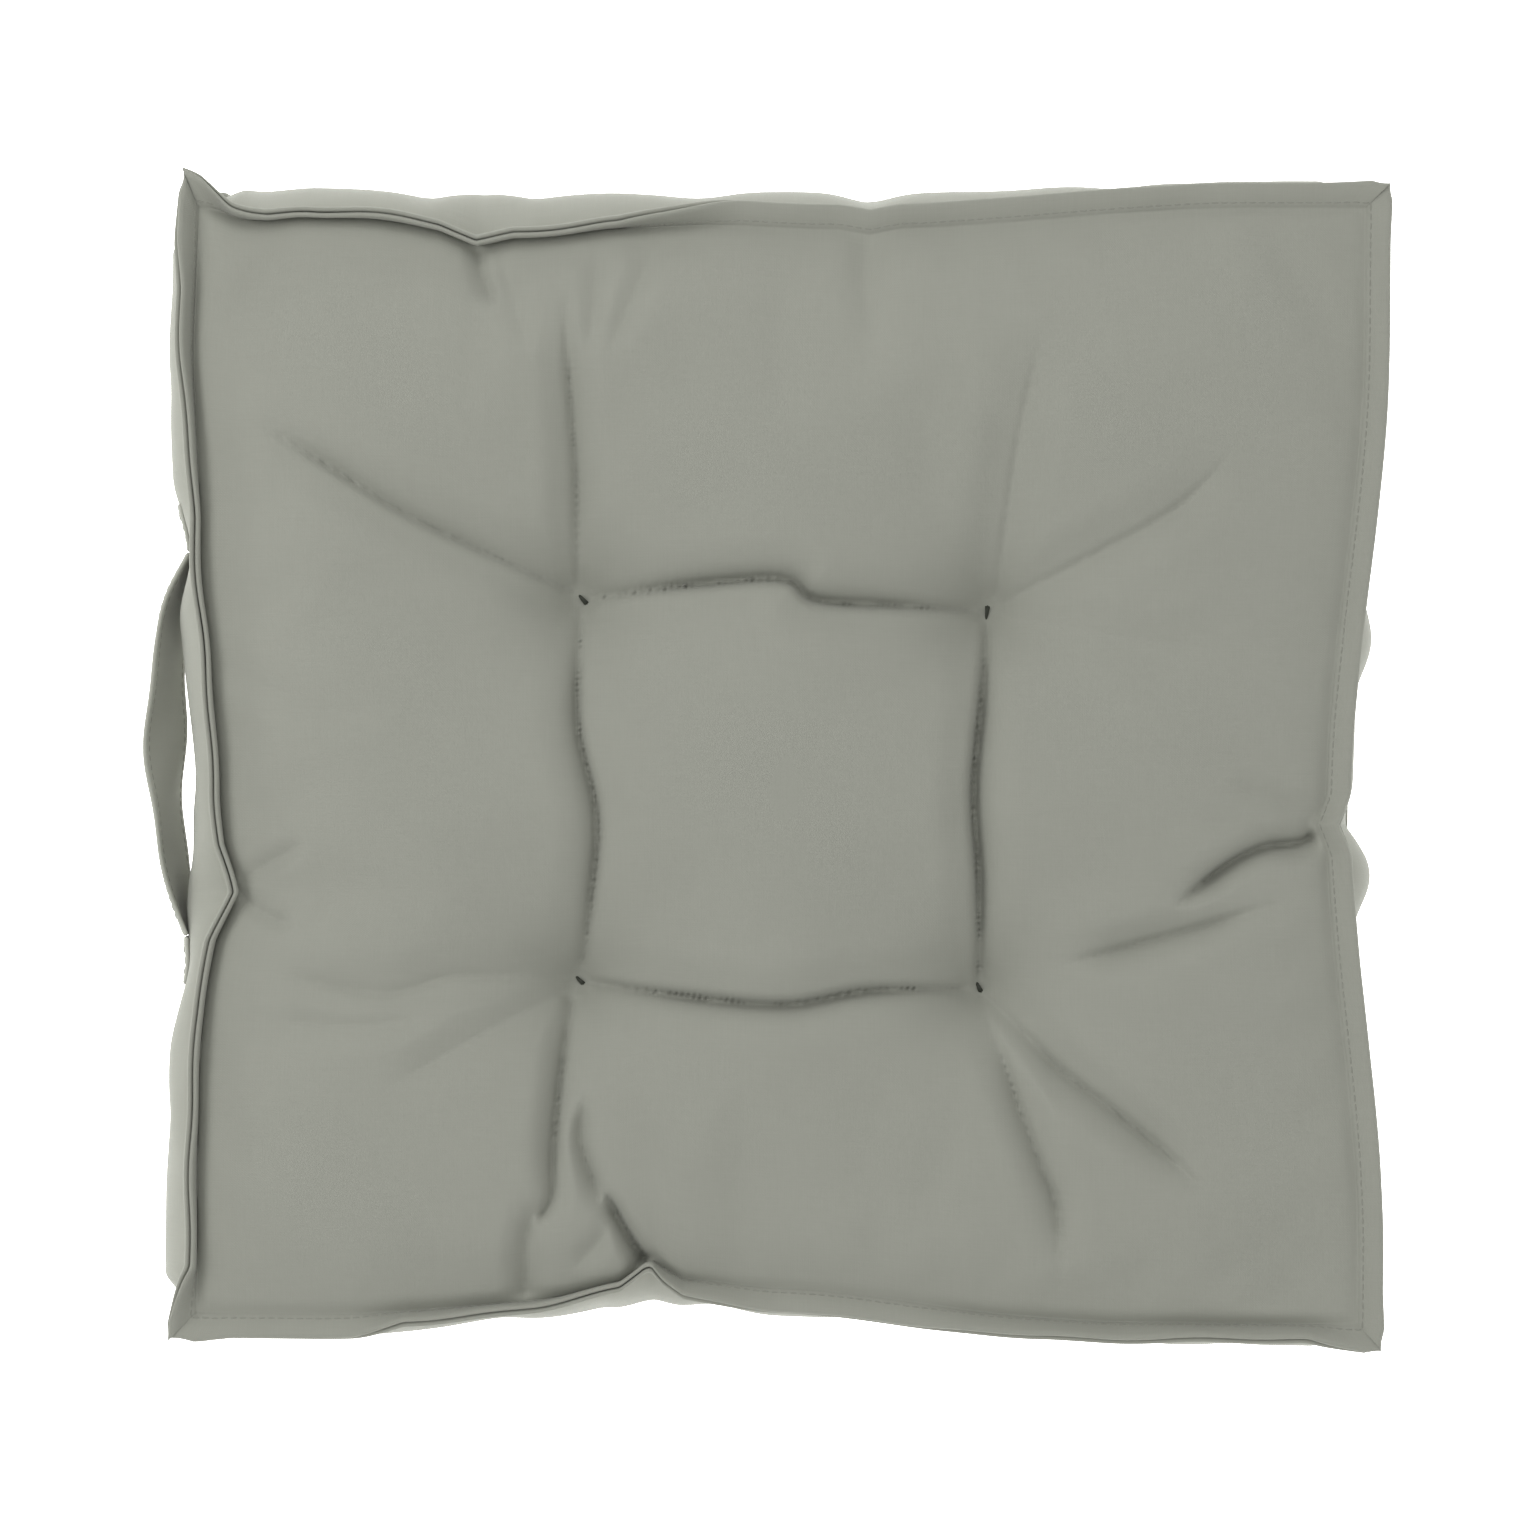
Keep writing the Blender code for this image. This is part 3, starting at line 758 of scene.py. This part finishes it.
def woven(name, colour):
    """A plain weave that follows the cloth's own UV map, which is in metres."""
    shader = Shader(name)
    cloth = shader.node("ShaderNodeUVMap").outputs[0]
    apart = shader.node("ShaderNodeSeparateXYZ", inputs={0: cloth})
    turns = 2 * math.pi / THREAD_PITCH
    along, across = ((shader.amount(apart.outputs[k]) * turns).sine() for k in (0, 1))
    weave = along * across
    slubs = 0
    for stretch in ((60, 2600, 1), (2600, 60, 1)):
        place = shader.node(
            "ShaderNodeVectorMath", {"operation": "MULTIPLY"}, {0: cloth, 1: stretch}
        ).outputs[0]
        yarn = shader.node("ShaderNodeTexNoise", inputs={"Vector": place, "Scale": 1, "Detail": 1})
        slubs = shader.amount(yarn.outputs[0]) * 0.5 + slubs
    clouds = shader.node("ShaderNodeTexNoise", inputs={"Vector": cloth, "Scale": 22, "Detail": 2})
    cloudy = shader.amount(clouds.outputs[0]) * (UNEVENNESS * 0.35)
    shade = slubs * UNEVENNESS + cloudy + (1 - UNEVENNESS * 0.68)
    tint = shader.node(
        "ShaderNodeVectorMath", {"operation": "SCALE"}, {0: colour, "Scale": shade}
    ).outputs[0]
    bumps = {"Strength": 0.5, "Distance": THREAD_RELIEF, "Height": weave * 0.5 + slubs}
    raised = shader.node("ShaderNodeBump", inputs=bumps)
    return shader.finish(
        Base_Color=tint,
        Roughness=0.88,
        Sheen_Weight=0.12,
        Sheen_Roughness=0.5,
        Specular_IOR_Level=0.2,
        Normal=raised.outputs[0],
    )


cover_cloth = woven("cover_cloth_weave", COVER_COLOUR)
# the strap's weave takes the lighter colour, so its paleness is painted light, not a paler cloth
strap_weave_with_painted_light = woven("strap_weave_painted_lighter", STRAP_COLOUR_PAINTED_LIGHTER)
seam_thread = plain("seam_thread", (0.245, 0.25, 0.215), 0.75)
dark_twine = plain("dark_twine", (0.028, 0.032, 0.022), 0.65)
white_fibre = plain("white_fibre", (0.82, 0.82, 0.80), 0.95)
cream_foam = plain("cream_foam", (0.78, 0.74, 0.58), 0.95)

wear(top_piece, cover_cloth, stands_for=["top_panel"])
wear(bottom_piece, cover_cloth, stands_for=["bottom_panel"])
for side, piece in boxing_pieces.items():
    wear(piece, cover_cloth, stands_for=[f"boxing_{side}"])
print("materials:", len(bpy.data.materials))

# %% [markdown]
# ## Foam and wadding
#
# Inside the cover lie a foam slab and two layers of fibre. Nobody sees them unless the cover is
# taken off, so each is a plain closed body that follows the cover a few millimetres inside.


# %% The filling
def thinned(sheet, step, pick):
    """Every step-th point, at the lowest or highest height found all round it."""
    few = sheet[::step, ::step].copy()
    for row, column in np.ndindex(few.shape[:2]):
        near = [slice(max(0, k * step - step), k * step + step + 1) for k in (row, column)]
        few[row, column, 2] = pick(sheet[near[0], near[1], 2])
    return few


OVER = thinned(top, 3 * TOP_FINER, np.min)
UNDER = thinned(bottom, 3 * BOTTOM_FINER, np.max)


def filling(name, high, low, shrink):
    """A closed body between two shares of the way from the bottom panel up to the top panel."""
    sheets = []
    for share in (high, low):
        sheet = UNDER + (OVER - UNDER) * share
        sheet[..., :2] = OVER[..., :2] * shrink
        sheets.append(sheet)
    bm = bmesh.new()
    for sheet in sheets:
        add_grid(bm, sheet, measured(sheet))
    rims = [edge for edge in bm.edges if edge.is_boundary]
    bmesh.ops.bridge_loops(bm, edges=rims)
    return finish_mesh(name, bm)


foam = filling("foam_slab", high=0.84, low=0.16, shrink=0.968)
fibre_over = filling("upper_fibre_layer", high=0.95, low=0.85, shrink=0.966)
fibre_under = filling("lower_fibre_layer", high=0.15, low=0.05, shrink=0.966)
wear(foam, cream_foam, stands_for=["foam_core"])
wear(fibre_over, white_fibre, stands_for=["wadding_top"])
wear(fibre_under, white_fibre, stands_for=["wadding_bottom"])
print("filling:", [len(piece.data.polygons) for piece in (foam, fibre_over, fibre_under)])

# %% [markdown]
# ## Stitches
#
# A lockstitch shows as a row of short, slightly sunken lengths of thread. One stretched ball per
# stitch is enough, because there are hundreds of them and each is smaller than a grain of rice.


# %% Rows of stitches
STITCH = 2.7 * MM
STITCH_GAP = 0.8 * MM
STITCH_RADIUS = 0.32 * MM


def ball():
    """The corners and faces of one small ball."""
    bm = bmesh.new()
    bmesh.ops.create_uvsphere(bm, u_segments=6, v_segments=4, radius=1)
    bm.verts.ensure_lookup_table()
    corners = np.array([vertex.co for vertex in bm.verts])
    faces = [[vertex.index for vertex in face.verts] for face in bm.faces]
    bm.free()
    return corners, faces


def stitched(name, rows):
    """One piece with all the stitches of some rows. A row is a line and the ways off the cloth."""
    corners, faces = ball()
    points, found = [], []
    for line, ups in rows:
        way = np.concatenate([[0], np.cumsum(np.linalg.norm(np.diff(line, axis=0), axis=1))])
        count = max(1, int(way[-1] / (STITCH + STITCH_GAP)))
        middles = (np.arange(count) + 0.5) * way[-1] / count
        before, middle, after, up = (
            np.column_stack([np.interp(spots, way, values[:, k]) for k in range(3)])
            for spots, values in (
                (middles - STITCH / 2, line),
                (middles, line),
                (middles + STITCH / 2, line),
                (middles, ups),
            )
        )
        ahead = after - before
        ahead /= np.linalg.norm(ahead, axis=1, keepdims=True)
        aside = np.cross(ahead, up)
        aside /= np.linalg.norm(aside, axis=1, keepdims=True)
        lift = np.cross(aside, ahead)
        axes = [aside * STITCH_RADIUS, lift * STITCH_RADIUS, ahead * STITCH / 2]
        for turn, place in zip(np.stack(axes, axis=1), middle, strict=True):
            start = len(points) * len(corners)
            points.append(corners @ turn + place)
            found += [[start + index for index in face] for face in faces]
    mesh = bpy.data.meshes.new(name)
    mesh.from_pydata(np.concatenate(points).tolist(), [], found)
    bm = bmesh.new()
    bm.from_mesh(mesh)
    return finish_mesh(name, bm)


def flange_stitches(name, lines, tilts, face):
    """The row of stitches round one face of a flange."""
    reach, thick = LIP_PROFILE[STITCH_STOP]
    rows = []
    for side in SIDES:
        out, off = lip_frame(side, lines[side], tilts)
        line = lines[side] + reach * MM * out + face * (thick * MM + STITCH_RADIUS * 0.2) * off
        rows.append((line, face * off))
    return stitched(name, rows)


top_edge = {side: edge_of(top, side) for side in SIDES}
bottom_edge = {side: edge_of(bottom, side) for side in SIDES}
for name, lines, tilts, face in (
    ("top_flange_needle", top_edge, TOP_TILTS, 1),
    ("top_flange_bobbin", top_edge, TOP_TILTS, -1),
    ("bottom_flange_bobbin", bottom_edge, BOTTOM_TILTS, 1),
    ("bottom_flange_needle", bottom_edge, BOTTOM_TILTS, -1),
):
    row = flange_stitches(f"{name}_stitches", lines, tilts, face)
    wear(row, seam_thread, stands_for=[f"{name}_thread"])
print("stitches sewn")

# %% [markdown]
# ## Corner seams
#
# At each corner of the pad, the ends of two boxing strips are sewn together in an upright seam. Its
# thread hardly shows, so one round thread along the seam is enough.


# %% Threads of the corner seams
def tube(name, line, radius, closed=False):
    """A round thread along the points, closed at its ends or joined into a loop."""
    curve = bpy.data.curves.new(name, "CURVE")
    curve.dimensions = "3D"
    curve.bevel_depth = radius
    curve.bevel_resolution = 2  # which makes eight sides
    curve.use_fill_caps = True
    spline = curve.splines.new("POLY")
    spline.points.add(len(line) - 1)
    for point, place in zip(spline.points, line, strict=True):
        point.co = (*place, 1)
    spline.use_cyclic_u = closed
    holder = bpy.data.objects.new(name + "_line", curve)
    bpy.context.scene.collection.objects.link(holder)
    shown = holder.evaluated_get(bpy.context.evaluated_depsgraph_get())
    mesh = bpy.data.meshes.new_from_object(shown)
    bpy.data.objects.remove(holder)
    bm = bmesh.new()
    bm.from_mesh(mesh)
    return finish_mesh(name, bm, weld=0.001 * MM)


SEAM_THREAD = 0.4 * MM
for side, corner in zip(SIDES, TOP_CORNERS, strict=True):
    line = boxing[side][1:-1, 0].copy()
    line[:, :2] *= 1 - SEAM_THREAD / np.linalg.norm(line[:, :2], axis=1, keepdims=True)
    piece = tube(f"corner_seam_{corner}_thread", line, SEAM_THREAD)
    wear(piece, seam_thread, stands_for=[f"corner_seam_{corner}"])
print("corner seams:", len(TOP_CORNERS))

# %% [markdown]
# ## The ties
#
# Each tie is three turns of dark twine through the whole pad, drawn tight. Above and below, only a
# short stitch shows, sunk deep into its dimple.

# %% Tufting twine
# which way each tie's stitch points, in degrees from X, and its length in mm
TIE_TURNS = {"back_left": -48, "back_right": 84, "front_left": -45, "front_right": -65}
TIE_LENGTHS = {"back_left": 5.5, "back_right": 6.5, "front_left": 4.5, "front_right": 4}
TWINE = 0.4 * MM


def surface_height(sheet, x, y):
    """The height of a sheet's nearest point to x, y."""
    far = np.hypot(sheet[..., 0] - x, sheet[..., 1] - y)
    return float(sheet[..., 2].ravel()[far.argmin()])


def tie_loop(name, strand):
    """One turn of twine: up through one hole, over the cloth and down through the other."""
    x, y = TUFTS[name]
    turn = math.radians(TIE_TURNS[name] + 7 * (strand - 1))
    half = TIE_LENGTHS[name] / 2 * MM * (1 - 0.12 * abs(strand - 1))
    ahead = np.array([math.cos(turn), math.sin(turn)])
    aside = np.array([-math.sin(turn), math.cos(turn)]) * (strand - 1) * 0.35 * MM
    high = surface_height(top, x, y)
    low = surface_height(bottom, x, y)
    top_of_turn = 1.0 + 0.3 * strand
    over = [(-1, -1.5), (-0.9, 0.1), (-0.5, 0.8), (0, top_of_turn), (0.5, 0.8), (0.9, 0.1), (1, -1.5)]
    under = [(1, 1.5), (0.9, -0.1), (0, -0.9), (-0.9, -0.1), (-1, 1.5)]
    return [
        (*(np.array([x, y]) + ahead * half * share + aside), height + lift * MM)
        for height, steps in ((high, over), (low, under))
        for share, lift in steps
    ]


def joined(name, pieces):
    """Several pieces as one."""
    bm = bmesh.new()
    for piece in pieces:
        bm.from_mesh(piece.data)
        bpy.data.objects.remove(piece)
    return finish_mesh(name, bm)


for name in TUFTS:
    turns = [tube(f"turn_{name}_{k}", tie_loop(name, k), TWINE, closed=True) for k in range(3)]
    tie = joined(f"tie_{name}_twine", turns)
    wear(tie, dark_twine, stands_for=[f"tuft_tie_{name}"])
print("ties:", len(TUFTS))

# %% [markdown]
# ## The strap handle
#
# The handle is a folded strip of the same cloth, hemmed along both edges and box-stitched flat to
# the left boxing at both ends. Its free middle stands off the wall and droops a little. The strap
# bends between the still wall and its middle; the way and the span of a blend across that bend are
# worked out, but no blend is applied.

# %% The strap
STRAP_WIDTH = 25 * MM
STRAP_THICK = 1.9 * MM
STRAP_Y = 6 * MM
STRAP_HALF = 72 * MM
STRAP_Z = 37 * MM
STRAP_OUT = 12.5 * MM
STRAP_DROOP = 7 * MM
STRAP_RIPPLE = 0.9 * MM
STRAP_LEAN = math.radians(26)
END_LENGTH = 18 * MM
STRAP_COLUMNS = 72
STRAP_ROWS = 10
END_ROWS = 8
wall_points = boxing["left"].reshape(-1, 3)


def wall_x(y, z):
    """Where the left boxing's face is at that place."""
    far = np.hypot(wall_points[:, 1] - y, wall_points[:, 2] - z)
    near = np.argsort(far)[:6]
    weight = 1 / (far[near] + 0.2 * MM)
    return float((wall_points[near, 0] * weight).sum() / weight.sum())


STRAP_SUNK = STRAP_THICK * 0.56
MIDDLE_X = wall_x(STRAP_Y, STRAP_Z)


def strap_point(share, across):
    """A point of the strap's middle surface, both shares from -1 to 1."""
    away = (1 - share * share) * (1 + 0.12 * share * share)
    y = STRAP_Y + share * STRAP_HALF
    z = STRAP_Z + across * STRAP_WIDTH / 2
    front, back = (wall_x(STRAP_Y + side * STRAP_HALF, z) for side in (-1, 1))
    taut = front + (back - front) * (share + 1) / 2
    sewn = Vector((min(taut, wall_x(y, z)) - STRAP_SUNK, y, z))
    lean = STRAP_LEAN * (1 + 0.12 * math.sin(5.5 * share + 0.6))
    ripple = STRAP_RIPPLE * math.sin(9 * share + 2.2 * across) * away
    middle = Vector((MIDDLE_X - STRAP_OUT - ripple, y, STRAP_Z - STRAP_DROOP))
    free = middle + Vector((-math.sin(lean), 0, math.cos(lean))) * across * STRAP_WIDTH / 2
    return sewn.lerp(free, away)


def end_point(side, share, across):
    """A point of a sewn end's middle surface. side is -1 at the front and 1 at the back."""
    y = STRAP_Y + side * (STRAP_HALF + 0.3 * MM + (share + 1) / 2 * END_LENGTH)
    z = STRAP_Z + across * STRAP_WIDTH / 2
    # the box stitch draws the end into the padding, more and more towards its tip
    return Vector((wall_x(y, z) - STRAP_SUNK * (1 - 0.4 * (share + 1)), y, z))


def band_sheet(point, columns, rows):
    """A grid of a band's points, from its lower edge to its upper edge."""
    shares = np.linspace(-1, 1, columns + 1)
    acrosses = np.linspace(-1, 1, rows + 1)
    return np.array([[point(share, across) for share in shares] for across in acrosses])


def settled(piece):
    """The piece with its modifiers made part of its mesh."""
    shown = piece.evaluated_get(bpy.context.evaluated_depsgraph_get())
    mesh = bpy.data.meshes.new_from_object(shown)
    piece.modifiers.clear()
    piece.data = mesh
    return piece


def band(name, sheet):
    """A strap of even thickness with rounded edges."""
    bm = bmesh.new()
    add_grid(bm, sheet, measured(sheet))
    piece = finish_mesh(name, bm)
    solid = piece.modifiers.new("thickness", "SOLIDIFY")
    solid.thickness = STRAP_THICK
    solid.offset = 0
    rounded = piece.modifiers.new("rounding", "SUBSURF")
    rounded.levels = rounded.render_levels = 1
    return settled(piece)


def band_lines(sheet, rows):
    """Lines along a sheet with the way off its outer face."""
    along = np.gradient(sheet, axis=1)
    across = np.gradient(sheet, axis=0)
    off = np.cross(across, along)
    off /= np.linalg.norm(off, axis=2, keepdims=True)
    off *= np.sign(-off[..., :1])
    return [(sheet[row] + off[row] * STRAP_THICK / 2, off[row]) for row in rows]


strap_sheet = band_sheet(strap_point, STRAP_COLUMNS, STRAP_ROWS)
strap = band("handle_strap_cloth", strap_sheet)
# the strap wears the cover's weave painted lighter, as painted light on its shaded face
wear(strap, strap_weave_with_painted_light, body=None, stands_for=["handle_strap"])
hems = []
for edge, row in (("lower", 1), ("upper", STRAP_ROWS - 1)):
    line, off = band_lines(strap_sheet, [row])[0]
    line, off = line[3:-3], off[3:-3]
    hem = stitched(f"handle_hem_{edge}_stitches", [(line, off), (line - off * STRAP_THICK, -off)])
    wear(hem, seam_thread, body=None, stands_for=[f"handle_hem_{edge}"])
    hems.append(hem)
for edge, side in (("front", -1), ("back", 1)):
    sheet = band_sheet(lambda share, across, side=side: end_point(side, share, across), 12, END_ROWS)
    end = band(f"handle_end_{edge}_cloth", sheet)
    wear(end, strap_weave_with_painted_light, stands_for=[f"handle_end_{edge}"])
    lines = band_lines(sheet, range(END_ROWS + 1))
    box = [lines[row][0][2:-2] for row in (1, END_ROWS - 1)]
    upright = [np.array([lines[row][0][c] for row in range(1, END_ROWS)]) for c in (2, -3)]
    rows = [(line, np.tile([-1.0, 0, 0], (len(line), 1))) for line in (*box, *upright)]
    tack = stitched(f"handle_tack_{edge}_stitches", rows)
    wear(tack, seam_thread, stands_for=[f"handle_tack_{edge}"])

# the way of the blend is square to the leaning strap and turned a little towards the end that is
# sewn deeper; it and the span of the bend are only worked out and printed, and nothing is blended
square = Vector((-math.cos(STRAP_LEAN), 0, -math.sin(STRAP_LEAN)))
front_end, back_end, middle = (
    Vector(strap_sheet[STRAP_ROWS // 2, column]) for column in (0, -1, STRAP_COLUMNS // 2)
)
square.y = (square.dot(front_end) - square.dot(back_end)) / (back_end.y - front_end.y)
square.normalize()
sewn_low = max(square.dot(strap_sheet[0, column]) for column in (0, -1))
start = square * (sewn_low + 0.2 * MM)
end_of_bend = square * (square.dot(middle) - 1.2 * MM)
for piece in (strap, *hems):
    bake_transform(piece)
print("strap bends over", round((end_of_bend - start).length * 1000, 1), "mm")

# %% [markdown]
# ## Floor, lights and camera
#
# The pad lies on a white floor that glows a little, so that the boxing is brighter than the top.
# Four large soft lights stand round it and a fifth hangs above. The left one is the strongest of
# the four, so that creases have a bright and a shaded wall. The camera looks straight down.

# %% The stage
bpy.ops.mesh.primitive_plane_add(size=12, location=(0, 0, -0.2 * MM))
floor = bpy.context.object
floor.name = "studio_floor"
pale = Shader("pale_floor").finish(
    Base_Color=(0.9, 0.9, 0.9, 1), Roughness=1.0, Emission_Color=(1, 1, 1, 1), Emission_Strength=2.0
)
floor.data.materials.append(pale)

world = bpy.data.worlds.new("studio_air")
bpy.context.scene.world = world
world.use_nodes = True
air = world.node_tree.nodes["Background"].inputs
air["Color"].default_value = (1, 1, 1, 1)
air["Strength"].default_value = 0.5

PAD_MIDDLE = Vector((0, 0, 0.05))


def soft_light(name, place, size, power):
    """A large lamp that faces the pad."""
    lamp = bpy.data.lights.new(name, "AREA")
    lamp.shape = "RECTANGLE"
    lamp.size = size[0]
    lamp.size_y = size[1]
    lamp.energy = power
    holder = bpy.data.objects.new(name, lamp)
    bpy.context.scene.collection.objects.link(holder)
    holder.location = place
    holder.rotation_euler = (PAD_MIDDLE - holder.location).to_track_quat("-Z", "Y").to_euler()


SIDE_LAMP = (1.4, 0.8)
soft_light("left_light", (-1.3, 0.2, 1.1), SIDE_LAMP, 9)
soft_light("right_light", (1.4, 0.0, 1.0), SIDE_LAMP, 3)
soft_light("back_light", (-0.2, 1.4, 1.0), SIDE_LAMP, 5)
soft_light("front_light", (0.2, -1.4, 1.0), SIDE_LAMP, 3)
soft_light("overhead_light", (-0.1, 0.1, 2.6), (1.6, 1.6), 15)
print("lights:", len(bpy.data.lights))

# %% The camera
FLANGE_HEIGHT = 63 * MM
CAMERA_RISE = 1.6  # metres over the flange
VIEW_WIDTH = 0.573  # metres across the picture at the flange's height
camera = bpy.data.cameras.new("overhead")
camera.sensor_width = 36
camera.lens = camera.sensor_width * CAMERA_RISE / VIEW_WIDTH
eye = bpy.data.objects.new("overhead", camera)
bpy.context.scene.collection.objects.link(eye)
eye.location = (-4.1 * MM, -3.7 * MM, FLANGE_HEIGHT + CAMERA_RISE)
bpy.context.scene.camera = eye
bpy.context.scene.view_settings.view_transform = "Standard"
print("camera:", round(camera.lens), "mm lens")
